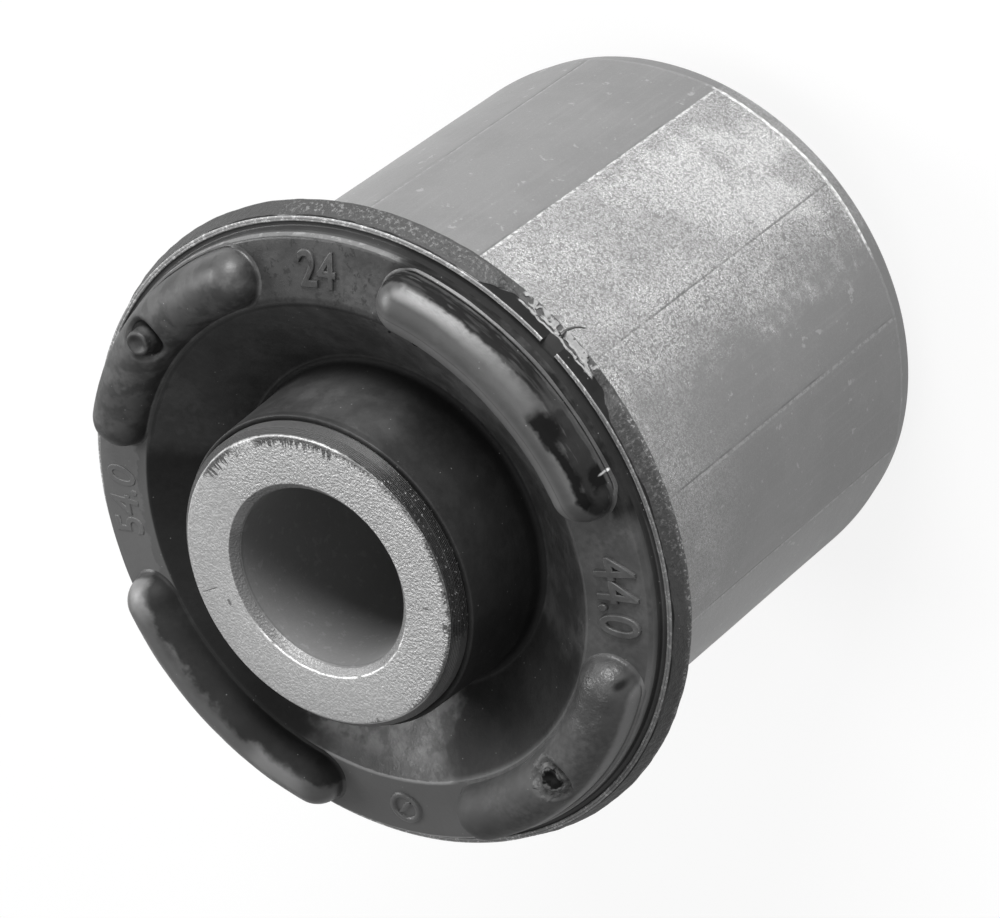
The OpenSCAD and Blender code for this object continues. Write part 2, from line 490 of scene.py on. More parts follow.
def bumps(shader, layers):
    # layers are (height, strength, distance in millimetres), the coarsest first
    tree, normal = shader.id_data, None
    for height, strength, distance in layers:
        made = addNode(tree, "ShaderNodeBump")
        made.inputs["Strength"].default_value = strength
        made.inputs["Distance"].default_value = distance * mm
        feed(made.inputs["Height"], height)
        if normal is not None:
            feed(made.inputs["Normal"], normal)
        normal = made.outputs["Normal"]
    feed(shader.inputs["Normal"], normal)


# the rubber's three materials, which start and end alike

rubberLook = {
    "dark": 0.032,
    "worn": 0.05,
    "dust": 0.1,
    "black": 0.009,
    "gloss": (0.34, 0.48),
    "grain": 3400,
    "fringe": (-98.5, -81),  # turns
    "tornGate": (-21.75, 0),
    "glint": (-9.15, -22.3),
    "endPit": (-20.4, -10.75),
}


def startRubber(name):
    # what every rubber surface shares: its places, its clouds and its first colour
    material, tree, shader = newMaterial(name)
    spots = placesOnBush(tree)
    wide = grain(tree, 330, 0.6, 0.4, 0.68)
    spots["cloud"] = wide["Height"]
    spots["patch"] = grain(tree, 620, 0.6)["Height"]
    spots["speck"] = grain(tree, 1500, 0.65)["Height"]
    dust = place(tree, dustGroup, Scale=210, Amount=0.45, Facing=0.5)["Mask"]
    colour = tinted(wide["Specks"], 1, grey(rubberLook["dark"]), rubberLook["worn"])
    colour = tinted(dust, 1, colour, rubberLook["dust"])
    return material, tree, shader, spots, colour, dust


def finishRubber(shader, spots, colour, dull, black, layers):
    # pale dots in clusters, then duller where it is dusty or torn and without gloss where it is black
    scattered = both(dots(shader.id_data, 1500, 0.09), ramp(spots["cloud"], 0.48, 0.58))
    colour = tinted(scattered, 0.5, colour, 0.3)
    feed(shader.inputs["Base Color"], colour)
    rough = mixValue(spots["cloud"], *rubberLook["gloss"])
    rough = mixValue(dull, rough, 0.8)
    feed(shader.inputs["Roughness"], mixValue(black, rough, 0.6))
    feed(shader.inputs["Specular IOR Level"], mixValue(black, 0.5, 0.04))
    bumps(shader, [(spots["cloud"], 0.25, 0.12), (spots["patch"], 0.25, 0.1)] + layers)


def makeRimRubber():
    material, tree, shader, spots, colour, dust = startRubber("rubberRim")
    speck = spots["speck"]
    crumbs = grain(tree, rubberLook["grain"], 0.75, 0.52, 0.62)

    # dark below the ridge, light crumbs in the middle on two sides, speckled at the foot on one
    rim = zone(spots, radius=(ridgeRadius + 0.07, beyond, 0.03, 0.12, "patch"))
    colour = tinted(rim, 0.8, colour, 0.018)
    middle = zone(spots, height=(ridgeZ - 1.65, ridgeZ - 0.45, 0.25, 0.9, "patch"))
    leftSide = zone(spots, turn=(-77, -36, 5, 14, "cloud"))
    rightSide = zone(spots, turn=(-134, -104, 5, 14, "cloud"))
    sides = either(leftSide, part(rightSide, 0.5))
    crumbed = both(rim, middle, crumbs["Specks"], sides)
    colour = tinted(crumbed, 0.5, colour, 0.2)
    foot = zone(
        spots,
        height=(halfway, ridgeZ - 1.45, 0.15, 0.6, "patch"),
        turn=(-178, -102, 4, 12, "cloud"),
    )
    foot = both(rim, foot)
    colour = tinted(foot, 0.45, colour, 0.07)
    colour = tinted(both(foot, crumbs["Specks"]), 0.75, colour, 0.26)
    lowEdge = zone(spots, height=(halfway, ridgeZ - 1.98, 0.1, 0.3, "patch"))
    lowEdge = both(rim, lowEdge, ramp(speck, 0.54, 0.64))
    colour = tinted(lowEdge, 0.5, colour, 0.26)

    # painted shade in the groove inside the ridge, and on the ridge's top a painted highlight broken by
    # light crumbs, dimmer on one side and with a dark line in it
    groove = zone(spots, radius=(0, 24.86, 0.04, 0.08, "speck"))
    colour = tinted(groove, 0.8, colour, 0.018)
    # the ridge's painted highlight
    ridge = zone(
        spots,
        radius=(24.84, ridgeRadius + 0.07, 0.03, 0.06, "speck"),
        height=(ridgeZ - 0.18, beyond, 0.03),
    )
    dimmer = zone(spots, turn=(-181, -102, 8, 14, "cloud"))
    speckled = both(mixValue(dimmer, 1, 0.45), mixValue(crumbs["Specks"], 0.4, 1))
    colour = tinted(both(ridge, speckled), 1, colour, 0.48)
    line = zone(spots, radius=(25.03, 25.08, 0.02, 0.1, "speck"))
    colour = tinted(both(ridge, line), 0.7, colour, 0.03)

    # where the blade trimmed the rim and cut the notch the rubber is dark and smooth
    outside = zone(spots, radius=(24.97, beyond, 0.02), height=(halfway, ridgeZ - 0.08, 0.02))
    inside = zone(spots, turn=(trim["low"] + 1.5, trim["high"] - 1.5, 3, 2, "cloud"))
    lowered = maths("SUBTRACT", spots["height"], part(opposite(inside), 1.15))
    trimmed = band(lowered, ridgeZ - 1.35, beyond, 0.04, 0.5, spots["cloud"])
    cutAcross = zone(
        spots,
        turn=(notch["turn"] - halfNotch, notch["turn"] + halfNotch, 0.06),
        radius=(24.7, beyond, 0.03),
        height=(ridgeZ - 1.5, beyond, 0.05),
    )
    blade = either(both(outside, trimmed), cutAcross)
    colour = tinted(blade, 0.97, colour, 0.014)
    colour = tinted(cutAcross, 0.9, colour, 0.028)

    # the pale torn fringe below it
    low, high = rubberLook["fringe"]
    torn = both(outside, zone(spots, turn=(low, high, 0.4, 5, "patch")))
    fringe = both(torn, zone(spots, height=(halfway, ridgeZ - 1.18, 0.03, 0.5, "patch")))
    strand = ramp(streaks(tree, 0.55, 3.2, 0.5), 0.44, 0.54)
    colour = tinted(fringe, 0.9, colour, 0.06)
    colour = tinted(both(fringe, strand), 0.9, colour, 0.3)
    lips = both(torn, zone(spots, height=(ridgeZ - 1.28, ridgeZ - 1.14, 0.03, 0.5, "patch")))
    colour = tinted(lips, 0.8, colour, 0.34)

    calm = opposite(blade)
    layers = [
        (both(rim, calm, speck), 0.8, 0.25),
        (both(fringe, strand), 0.9, 0.16),
        (both(crumbs["Height"], calm), 0.25, 0.04),
    ]
    oily = both(groove, zone(spots, turn=(-124, -60, 4, 8, "cloud")))
    dull = either(dust, crumbed, fringe, ridge, part(rim, 0.55))
    finishRubber(shader, spots, colour, dull, either(blade, oily), layers)
    return material


def recessShade(spots):
    # painted shade in the recess: black at the bottom on one side, shaded on the other, and darker in its
    # corners, along the skin's edge and on the lip on one side
    lip = collar["lipRadius"]
    deep = zone(spots, radius=(0, 13.05, 0.1), turn=(-176, -72, 10, 10, "cloud"))
    above = zone(
        spots,
        radius=(0, 16.4, 1.6, 2, "patch"),
        turn=(-96, -34, 10, 16, "cloud"),
        height=(halfway, ridgeZ + 1, 0.5),
    )
    shade = zone(spots, radius=(0, lip + 1, 0.15, 2.2, "patch"), turn=(26, 113, 7, 14, "cloud"))
    lower = zone(spots, radius=(0, lip - 0.2, 0.3), round=(148, 205, 8, 20, "cloud"))
    beside = zone(spots, radius=(0, lip - 0.2, 0.3), turn=(-30, 40, 10, 20, "cloud"))
    crease = zone(spots, radius=(12.7, 13.35, 0.12))
    edge = zone(spots, radius=(11.9, 12.75, 0.05), height=(frontZ - 2.1, frontZ - 1.3, 0.15))
    lipShade = zone(
        spots,
        radius=(lip - 0.4, lip + 0.4, 0.15, 0.3, "speck"),
        turn=(-66, 28, 6, 10, "cloud"),
    )
    return either(
        part(deep, 0.74),
        part(either(shade, crease), 0.88),
        part(either(edge, lipShade), 0.5),
        part(above, 0.05),
        part(beside, 0.36),
        part(lower, 0.75),
    )


def makeFaceRubber():
    material, tree, shader, spots, colour, dust = startRubber("rubberFace")
    patch, speck = spots["patch"], spots["speck"]
    front = zone(spots, height=(halfway, beyond, 0.8))

    # painted highlights on rounded edges: on the bevel round the annulus on one side, speckled like wear,
    # and on the lip of the recess
    bevel = zone(
        spots,
        radius=(24.16, 24.4, 0.02, 0.08, "speck"),
        height=(ridgeZ + 0.7, ridgeZ + 1.2, 0.05),
        turn=(-63, -8, 2, 6, "cloud"),
    )
    # the bevel's painted highlight, speckled
    worn = both(bevel, mixValue(ramp(speck, 0.54, 0.64), 0.5, 1))
    colour = tinted(worn, 0.75, colour, 0.3)
    lip = zone(spots, radius=(19.16, 19.42, 0.04, 0.1, "speck"), height=(ridgeZ + 1.3, ridgeZ + 2.4, 0.05))
    lipLight = mixValue(zone(spots, turn=(114, 150, 2, 8, "cloud")), 0.14, 1)
    colour = tinted(both(lip, lipLight), 0.8, colour, 0.26)

    # the recess, scuffed and then given painted shade, with dust that lies in it on one side
    scuffed = both(zone(spots, radius=(12.3, 19.2, 0.3)), front, ramp(patch, 0.48, 0.66))
    colour = tinted(scuffed, 0.3, colour, 0.085)
    dark = both(recessShade(spots), front)
    colour = tinted(dark, 1, colour, rubberLook["black"])
    lying = zone(spots, radius=(13.2, 18.2, 0.6, 2.2, "patch"), turn=(106, 150, 4, 26, "cloud"))
    lying = both(lying, front, mixValue(ramp(patch, 0.4, 0.62), 0.12, 1))
    colour = tinted(lying, 0.85, colour, 0.15)

    # the flat annulus: painted light on one side, painted shade on the other, with small pores there
    level = (collar["lipRadius"] + 0.05, collar["annulusRadius"] - 0.1, 0.1)
    paintedLightSide = zone(spots, radius=level, round=(22, 205, 10, 20, "cloud"))
    colour = tinted(paintedLightSide, 0.85, colour, 0.098)
    # painted shade on the darker side
    colour = tinted(zone(spots, turn=(-70, 4, 6)), 0.3, colour, 0.014)
    pores = zone(spots, radius=level, turn=(-70, 0, 6))
    colour = tinted(both(pores, ramp(speck, 0.57, 0.63)), 0.7, colour, 0.01)

    # grime and painted shade along the foot of the bumper at -Y, and drops of oil inside it
    # grime and painted shade, drawn out in streaks
    grimeAndShade = zone(spots, radius=(23.05, 24.5, 0.25, 0.8, "patch"), turn=(-122, -61, 3, 5, "cloud"))
    grimeAndShade = both(grimeAndShade, front)
    drawn = mixValue(ramp(streaks(tree, 0.14, 2.4, 2.4), 0.4, 0.56), 0.75, 1)
    colour = tinted(both(grimeAndShade, drawn), 0.95, colour, 0.008)
    # painted highlight along the annulus's outer bevel beside the bumper at -X
    bevelHighlight = zone(spots, radius=(24.05, 24.4, 0.05), round=(142, 212, 6))
    colour = tinted(bevelHighlight, 0.6, colour, 0.15)
    drops = zone(spots, radius=(18, 20.2, 0.3, 1, "cloud"), turn=(-108, -58, 3, 8, "cloud"))
    drops = both(drops, front, ramp(patch, 0.56, 0.6))
    colour = tinted(drops, 0.95, colour, 0.005)

    layers = [(speck, 0.3, 0.08), (grain(tree, rubberLook["grain"], 0.75)["Height"], 0.25, 0.04)]
    finishRubber(shader, spots, colour, dust, either(dark, drops, grimeAndShade), layers)
    return material


def makeBumperRubber():
    material, tree, shader, spots, colour, dust = startRubber("rubberBumper")
    turn, patch, speck = spots["turn"], spots["patch"], spots["speck"]
    onTop = zone(spots, height=(49, beyond, 0.2))
    nearSide = zone(spots, turn=(-125, -58, 2))

    # the bumper at -Y: painted light, grey on its inner side and darker on its crest, with a painted
    # highlight that fades along it
    innerHalf = both(nearSide, zone(spots, radius=(19.3, 22.9, 0.3, 0.5, "cloud")))
    # painted light and shade across the bumper's profile
    paintedLight = mixColour(ramp(spots["radius"], 21, 21.9), grey(0.14), grey(0.052))
    colour = mixColour(part(innerHalf, 0.75), colour, paintedLight)
    shine = zone(spots, turn=(-97, -64.4, 1, 2, "cloud"), radius=(23.04, 23.5, 0.22, 0.25, "cloud"))
    fading = mixValue(ramp(turn, -92, -63), 0.3, 1)
    colour = tinted(both(onTop, shine), fading, colour, 0.145)

    # the one at +X mottled, the one at +Y dark on its inner side, lighter on its outer side and with
    # painted highlights at its ends
    mottled = both(zone(spots, turn=(-35, 35, 3)), ramp(patch, 0.44, 0.6))
    colour = tinted(mottled, 0.75, colour, 0.014)
    flank = zone(spots, radius=(0, 21, 0.3, 2.2, "patch"), turn=(38, 122, 3))
    colour = tinted(flank, 0.68, colour, 0.008)
    farOuter = zone(spots, radius=(21.4, beyond, 0.5, 0.8, "cloud"), turn=(55, 125, 2))
    colour = tinted(both(onTop, farOuter), 0.75, colour, 0.085)
    # painted highlights at both ends of the bumper at +Y
    oneEnd = zone(spots, turn=(101, 113.5, 3, 3, "cloud"))
    otherEnd = zone(spots, turn=(60, 67, 2, 2, "cloud"))
    farEnds = both(onTop, zone(spots, radius=(20.9, 22.5, 0.4, 0.8, "patch")))
    colour = tinted(both(farEnds, either(oneEnd, otherEnd)), 0.65, colour, 0.2)

    # a dark mould seam along the bumper at -Y, and a dark foot at its upper end
    seam = zone(spots, radius=(21.25, 21.33, 0.03, 0.1, "patch"), height=(50, beyond, 0.1))
    foot = zone(spots, turn=(-78, -50, 4), height=(halfway, 48.1, 0.1))
    colour = tinted(both(nearSide, either(seam, foot)), 0.5, colour, 0.012)

    # grime and painted shade drawn out along its outer side, with blotches at its upper end and a smear at
    # the other
    drawn = streaks(tree, 0.14, 2.4, 2.4)
    outward = zone(spots, radius=(22.8, 24.9, 0.2))
    grimeAndShade = both(
        nearSide,
        outward,
        zone(spots, height=(48, 49.35, 0.15, 0.8, "patch")),
        mixValue(ramp(drawn, 0.34, 0.5), 0.7, 1),
        mixValue(zone(spots, turn=(-97, -50, 4, 4, "patch")), 0.45, 1),
    )
    smeared = zone(spots, turn=(-119, -98.5, 1.5, 5, "patch"), height=(48.3, 50, 0.15, 0.5, "patch"))
    smeared = both(outward, smeared)
    blotches = zone(spots, turn=(-92, -66, 3), radius=(23.6, 24.4, 0.2))
    blotches = both(blotches, ramp(patch, 0.46, 0.6))
    dirtAndShade = either(grimeAndShade, part(either(blotches, smeared), 0.8))
    colour = tinted(dirtAndShade, 0.9, colour, 0.008)
    wiped = both(nearSide, zone(spots, radius=(23.2, 24.9, 0.3)), ramp(drawn, 0.62, 0.7))
    colour = tinted(wiped, 0.4, colour, 0.1)

    # oil: a smear that narrows along that bumper, a drop near its end, and a painted glint beside the drop
    blob = zone(spots, turn=(-104, -97.2, 1.2, 5, "patch"), radius=(22.55, 23.75, 0.22, 1.3, "patch"))
    tail = zone(spots, turn=(-117, -101, 1, 4, "patch"), radius=(22.78, 23.35, 0.16, 1, "patch"))
    drop = zone(spots, turn=(-115, -110.5, 0.8, 4, "patch"), radius=(23.7, 24.18, 0.1, 0.6, "speck"))
    oil = both(either(blob, tail, drop), zone(spots, height=(48.2, 52, 0.1)))
    colour = tinted(oil, 0.95, colour, 0.005)
    glint = opposite(ramp(away(tree, *rubberLook["glint"]), 0.06, 0.16))
    colour = tinted(glint, 0.9, colour, 0.65)

    # the whole gate stands in a ring of painted shade, the torn one in a crumpled pale ring round a hole of
    # painted shade
    dimpleShade = band(away(tree, bumper["circle"], 0), 0.98, 1.42, 0.1, 0.5, patch)
    colour = tinted(dimpleShade, 0.8, colour, 0.008)
    reach = maths("ADD", away(tree, *rubberLook["tornGate"]), drift(patch, 2.6))
    holeShade = opposite(ramp(reach, 0.62, 0.8))
    ring = band(reach, 0.85, 1.75, 0.12)
    colour = tinted(holeShade, 0.95, colour, 0.006)
    colour = tinted(both(ring, ramp(speck, 0.46, 0.6)), 0.6, colour, 0.13)

    # the bumper at -X: painted shade for a pit, crumpled rubber at one end, and a painted highlight along
    # its foot
    crumpled = zone(spots, turn=(-166, -148, 3, 8, "cloud"), radius=(20, 22.8, 0.4, 1, "patch"))
    # painted shade for a small pit
    pit = opposite(ramp(away(tree, *rubberLook["endPit"]), 0.12, 0.5))
    colour = tinted(pit, 0.8, colour, 0.008)
    footHighlight = zone(spots, radius=(23.75, 24.2, 0.15, 0.2, "speck"), round=(163, 210, 5))
    colour = tinted(footHighlight, 0.7, colour, 0.17)

    layers = [
        (both(either(ring, crumpled), speck), 0.9, 0.16),
        (grain(tree, rubberLook["grain"], 0.75)["Height"], 0.25, 0.04),
    ]
    dullX = part(zone(spots, turn=(-22, 35, 4)), 0.4)
    dullMinusX = zone(spots, round=(147, 213, 4))
    dullMinusX = both(dullMinusX, part(opposite(crumpled), 0.75))
    dull = either(dust, ring, dullX, dullMinusX)
    black = either(oil, holeShade, dimpleShade, pit, grimeAndShade, part(flank, 0.8), part(smeared, 0.9))
    finishRubber(shader, spots, colour, dull, black, layers)
    return material


# the two steels

innerLook = {
    "grain": 5400,
    "face": (0.39, 0.45),
    "turned": 0.05,
    "rings": 38,  # radians a millimetre
    "bore": 0.2,
    "bleed": 0.035,
    "pit": (8.95, 65),  # radius and turn
    "scratch": (9.6, 11, 57.3),  # from one radius to another, and turn
    "crack": (8.1, 9.8, -139),
}


def bledRubber(tree, spots, wide, atFront):
    # rubber that bled in over the edge of the face, in teeth along one stretch
    comb = streaks(tree, 1, 0, 0.8)
    toothed = zone(spots, turn=(-63, 4, 3, 8, "cloud"))
    some = zone(spots, round=(150, 300, 5, 30, "cloud"))
    long = part(ramp(comb, 0.36, 0.72), 0.95)
    share = mixValue(toothed, mixValue(some, 0.14, 0.45), 1)
    length = part(maths("ADD", long, 0.16), share)
    inward = maths("SUBTRACT", 11.44, spots["radius"])
    bled = both(atFront, band(inward, 0, length, 0.03), ramp(wide, 0.36, 0.46))
    return both(bled, either(toothed, mixValue(some, 0.35, 0.8)))


def faceScars(spots, atFront):
    # a pit, a scratch and a crack in the face
    radius, turn = innerLook["pit"]
    pit = zone(
        spots,
        radius=(radius - 0.12, radius + 0.12, 0.06, 0.3, "cloud"),
        turn=(turn - 1.6, turn + 1.6, 0.5, 2, "cloud"),
    )
    low, high, turn = innerLook["scratch"]
    slanted = maths("SUBTRACT", spots["turn"], maths("SUBTRACT", spots["radius"], low))
    slanted = band(slanted, turn - 0.25, turn + 0.25, 0.2, 1, spots["cloud"])
    scratch = both(zone(spots, radius=(low, high, 0.2)), slanted)
    low, high, turn = innerLook["crack"]
    crack = zone(spots, radius=(low, high, 0.2), turn=(turn - 0.4, turn + 0.4, 0.2, 4, "cloud"))
    crack = both(crack, ramp(spots["speck"], 0.48, 0.54))
    return both(either(pit, scratch, crack), atFront)


def makeInnerSteel():
    material, tree, shader = newMaterial("blastedSteel", metallic=0.55)
    spots = placesOnBush(tree)
    fine = grain(tree, innerLook["grain"], 0.5, 0.42, 0.6, 0.03)
    coarse = grain(tree, 1300, 0.7, 0.62, 0.72)
    wide = grain(tree, 150, 0.5, 0.35, 0.65)
    speck = coarse["Height"]
    spots["speck"] = speck
    spots["cloud"] = grain(tree, 520, 0.6)["Height"]
    spots["wide"] = wide["Height"]
    atFront = zone(spots, height=(frontZ - 0.8, beyond, 0.1))
    low, high = innerLook["face"]
    colour = mixColour(fine["Specks"], grey(low), grey(high))
    colour = tinted(wide["Specks"], 0.25, colour, 0.34)

    # wrinkles, stronger on one half of the face
    strongHalf = zone(spots, round=(170, 352, 25, 60, "wide"))
    wrinkled = mixValue(strongHalf, 0.35, 1)
    colour = tinted(both(fine["Squiggles"], wrinkled), 0.5, colour, 0.2)
    colour = tinted(coarse["Specks"], 0.3, colour, 0.22)

    # the turned side and its chamfer are darker, and greasy black along one stretch
    side = zone(spots, radius=(11.5, beyond, 0.04, 0.1, "speck"))
    colour = tinted(side, 0.9, colour, innerLook["turned"])
    greasy = both(side, zone(spots, turn=(-150, -82, 6, 12, "cloud")))
    greasy = both(greasy, mixValue(speck, 0.6, 1.2))
    colour = tinted(greasy, 0.85, colour, 0.015)
    # painted glints on the greasy stretch
    glints = either(dots(tree, 1800, 0.1), ramp(fine["Height"], 0.63, 0.69))
    colour = tinted(both(greasy, glints), 0.7, colour, 0.45)

    # the face's outer edge catches the light on one side
    edge = both(atFront, zone(spots, radius=(11.4, 11.55, 0.03, 0.06, "speck")))
    lit = mixValue(zone(spots, turn=(-84, -1, 3, 10, "cloud")), 0.25, 1)
    colour = tinted(both(edge, lit, ramp(speck, 0.36, 0.54)), 0.9, colour, 0.6)
    bled = bledRubber(tree, spots, spots["wide"], atFront)
    colour = tinted(bled, 0.85, colour, innerLook["bleed"])
    ragged = zone(spots, radius=(11.34, 11.6, 0.04, 0.55, "speck"), turn=(-178, -66, 4, 10, "cloud"))
    colour = tinted(both(atFront, ragged), 0.75, colour, 0.05)
    smudge = zone(spots, turn=(-149, -129, 2, 4, "cloud"), radius=(11, 11.5, 0.1, 0.8, "cloud"))
    smudge = both(atFront, smudge, ramp(speck, 0.5, 0.56))
    colour = tinted(smudge, 0.8, colour, 0.05)
    scars = faceScars(spots, atFront)
    colour = tinted(scars, 0.8, colour, 0.08)

    # the bore and the chamfer at its mouth, with a painted highlight on the line between the chamfer and
    # the face, bright on one side
    mouth = both(atFront, zone(spots, radius=(0, 7.74, 0.03, 0.08, "speck")))
    colour = tinted(mouth, 0.8, colour, 0.17)
    roughMouth = both(mouth, zone(spots, turn=(20, 100, 8, 20, "cloud")))
    colour = tinted(roughMouth, 0.7, colour, 0.1)
    line = both(atFront, zone(spots, radius=(7.68, 7.8, 0.03, 0.08, "speck")))
    lit = mixValue(zone(spots, round=(84, 205, 6, 12, "cloud")), 0.05, 1)
    colour = tinted(both(line, lit, ramp(speck, 0.34, 0.52)), 0.9, colour, 0.7)
    bore = zone(spots, radius=(0, inner["bore"] + 0.06, 0.05))
    colour = tinted(bore, 0.78, colour, innerLook["bore"])
    colour = tinted(both(bore, ramp(speck, 0.58, 0.64)), 0.25, colour, 0.42)
    feed(shader.inputs["Base Color"], colour)

    rough = mixValue(fine["Height"], 0.4, 0.58)
    feed(shader.inputs["Roughness"], mixValue(greasy, rough, 0.22))
    rings = part(maths("SUBTRACT", spots["height"], spots["radius"]), innerLook["rings"])
    blasted = both(wrinkled, opposite(either(bore, side)))
    layers = [
        (both(maths("SINE", rings), side), 0.7, 0.05),
        (speck, 0.3, 0.06),
        (part(scars, -1), 0.25, 0.08),
        (both(fine["Height"], blasted), 1, 0.22),
    ]
    bumps(shader, layers)
    return material


outerLook = {
    "grain": 4700,
    # the grey of each pressed face, from the first line round: partly its own tone, partly painted light
    # and shade
    "faces": (0.19, 0.17, 0.2, 0.18, 0.17, 0.215, 0.185, 0.18, 0.19, 0.173, 0.172, 0.19),
    "light": 0.96,
    "nick": 0.42,
    "brightLine": -66.8,  # the turn where the strong grain starts
}


def faceLightAndTone(tree, around):
    # one grey a pressed face, partly painted light and shade; around goes from 0 to 1 once round the sleeve
    made = addNode(tree, "ShaderNodeValToRGB")
    made.color_ramp.interpolation = "CONSTANT"
    stops = made.color_ramp.elements
    tones = outerLook["faces"]
    for k, tone in enumerate(tones):
        stop = stops[k] if k < 2 else stops.new(k / len(tones))
        stop.position = k / len(tones)
        stop.color = grey(tone)
    feed(made.inputs["Fac"], around)
    return made.outputs["Color"]


def makeOuterSteel():
    material, tree, shader = newMaterial("phosphatedSteel", metallic=0.6)
    spots = placesOnBush(tree)
    height, turn = spots["height"], spots["turn"]
    fine = grain(tree, outerLook["grain"], 0.45, 0.56, 0.64, 0.028)
    wide = grain(tree, 150, 0.6, 0.4, 0.6)
    nicks = grain(tree, 900, 0.7, 0.64, 0.7)
    dotted = grain(tree, 2600, 0.6, 0.44, 0.56)
    cloud = nicks["Height"]
    spots["cloud"] = cloud
    past = maths("MODULO", maths("ADD", turn, 720 - outer["firstLine"]), 360)
    colour = faceLightAndTone(tree, maths("DIVIDE", past, 360))
    colour = tinted(ramp(streaks(tree, 0.9, 0.09, 0), 0.5, 0.7), 0.07, colour, 0.34)
    colour = tinted(wide["Specks"], 0.12, colour, 0.28)

    # bright grain, partly real and partly a painted highlight, is strongest on one face, runs on past its
    # line and round under the flange
    drifted = maths("ADD", turn, drift(cloud, 22))
    drifted = maths("ADD", drifted, drift(wide["Height"], 12))
    pressed = maths("LESS_THAN", turn, outerLook["brightLine"])
    near = both(pressed, ramp(drifted, -116, -100))
    upper = both(pressed, ramp(height, 28, 41), ramp(drifted, -170, -140))
    grained = either(near, part(upper, 0.5))
    strong = both(grained, mixValue(wide["Specks"], 0.62, 1))
    light = either(part(fine["Specks"], 0.4), fine["Squiggles"])
    rough = both(light, mixValue(strong, 0.05, 0.9))
    rearward = ramp(maths("SUBTRACT", 40, height), 14, 26)
    # painted sheen towards the rear end of that face
    paintedRearSheen = both(near, rearward, ramp(wide["Height"], 0.45, 0.62))
    colour = tinted(paintedRearSheen, 0.35, colour, 0.5)
    colour = tinted(rough, 1, colour, outerLook["light"])
    colour = tinted(nicks["Specks"], 0.35, colour, outerLook["nick"])

    # painted shade along the line between two faces, with a dotted painted highlight beside it
    step = 360 / outer["jaws"]
    across = maths("MODULO", past, step)
    level = zone(spots, height=(rearZ + 1.6, 41, 0.6, 3, "cloud"))
    broken = ramp(maths("ADD", wide["Height"], part(cloud, 0.3)), 0.52, 0.74)
    dark = both(band(across, -1, 0.4, 0.15), level, broken)
    colour = tinted(dark, 0.7, colour, 0.09)
    bright = both(band(across, step - 0.62, step + 1, 0.15), level, dotted["Specks"])
    nearest = mixValue(zone(spots, turn=(-70, -60, 2)), 0.1, 0.45)
    colour = tinted(both(bright, nearest), 0.8, colour, outerLook["light"])

    # the bevel at the rear end is dark, its front edge given a painted highlight on one side
    bevel = zone(spots, height=(0, rearZ + 1.5, 0.06, 0.3, "cloud"))
    colour = tinted(bevel, 0.6, colour, 0.15)
    edge = zone(spots, height=(rearZ + 1.45, rearZ + 1.8, 0.06, 0.3, "cloud"))
    # painted highlight on the front edge
    paintedLight = mixValue(zone(spots, turn=(-112, -66, 3, 12, "cloud")), 0.06, 1)
    edge = both(edge, paintedLight, mixValue(dotted["Specks"], 0.4, 1))
    colour = tinted(edge, 0.9, colour, 0.8)
    feed(shader.inputs["Base Color"], colour)
    feed(shader.inputs["Roughness"], mixValue(fine["Height"], 0.4, 0.56))
    layers = [
        (wide["Height"], 0.2, 0.2),
        (cloud, 0.3, 0.06),
        (both(fine["Height"], mixValue(strong, 0.1, 1)), 0.8, 0.1),
    ]
    bumps(shader, layers)
    return material


rimRubber = makeRimRubber()
faceRubber = makeFaceRubber()
bumperRubber = makeBumperRubber()
innerSteel = makeInnerSteel()
outerSteel = makeOuterSteel()
print("materials made")


# the inner sleeve


def makeInnerSleeve():
    bore, chamfer, end = inner["bore"], inner["boreChamfer"], inner["endChamfer"]
    small, wide = inner["edgeRound"], 0.3
    corners = [
        (bore, chamfer, small),
        (bore + chamfer, 0, small),
        (innerRadius - end, 0, small),
        (innerRadius, end, wide),
        (innerRadius, frontZ - end, wide),
        (innerRadius - end, frontZ, small),
        (bore + chamfer, frontZ, small),
        (bore, frontZ - chamfer, small),
    ]
    outline = filletOutline(corners)
    turns = turnList([(0, 360, 360 / inner["columns"])])

    def shape(r, z, t):
        # the blasted face is slightly uneven
        if z > frontZ - 1 and bore + 0.2 < r < innerRadius - 0.1:
            r -= abs(0.02 * wander(r * math.cos(t), r * math.sin(t), z, 0.8, 3.0))
        return r, z, t

    vertices, faces = lathe(outline, turns, shape)
    return newPiece("inner_sleeve_steel", vertices, faces, innerSteel, "inner_steel", "inner_sleeve")


makeInnerSleeve()
print("inner sleeve made")


# the outer sleeve


def jawShift(turnDegrees):
    # how far the swaged face lies inside the round, and the line between two jaws
    step = 360 / outer["jaws"]
    across = ((turnDegrees - outer["firstLine"]) % step) / step * 2 - 1
    face = outer["flatness"] * (1 - across * across)
    line = (1 - abs(across)) * math.radians(step / 2) * outer["radius"]
    return face + outer["lineDepth"] * (1 - blendStep(0, outer["lineWidth"], line))


def makeOuterSleeve():
    radius = outer["radius"]
    back = flangeTop - outer["flangeThickness"]
    length, depth = outer["leadIn"]
    corners = [
        (sleeveBore, rearZ, 0.1),
        (radius - depth, rearZ, 0.12),
        (radius, rearZ + length, 0.8),
        (radius, back, outer["fillet"]),
        (flangeRadius, back, 0.15),
        (flangeRadius, flangeTop, 0.15),
        (sleeveBore, flangeTop, outer["bend"]),
    ]
    outline = subdivided(filletOutline(corners), 2.0)
    turns = turnList([(0, 360, outer["columnStep"])])
    swagedTop = back - outer["unswaged"]

    def shape(r, z, t):
        x, y = r * math.cos(t), r * math.sin(t)
        if r > radius - depth - 0.01 and z < back - 0.6:
            reach = blendStep(swagedTop + 1.2, swagedTop, z) * blendStep(rearZ - 0.3, rearZ + length, z)
            r -= jawShift(math.degrees(t)) * reach
            r -= 0.012 * (1 + wander(x, y, z, 0.25, 1.0)) * reach
        return r, z, t

    vertices, faces = lathe(outline, turns, shape)
    return newPiece("outer_sleeve_steel", vertices, faces, outerSteel, "outer_steel", "outer_sleeve")


makeOuterSleeve()
print("outer sleeve made")


# the rubber


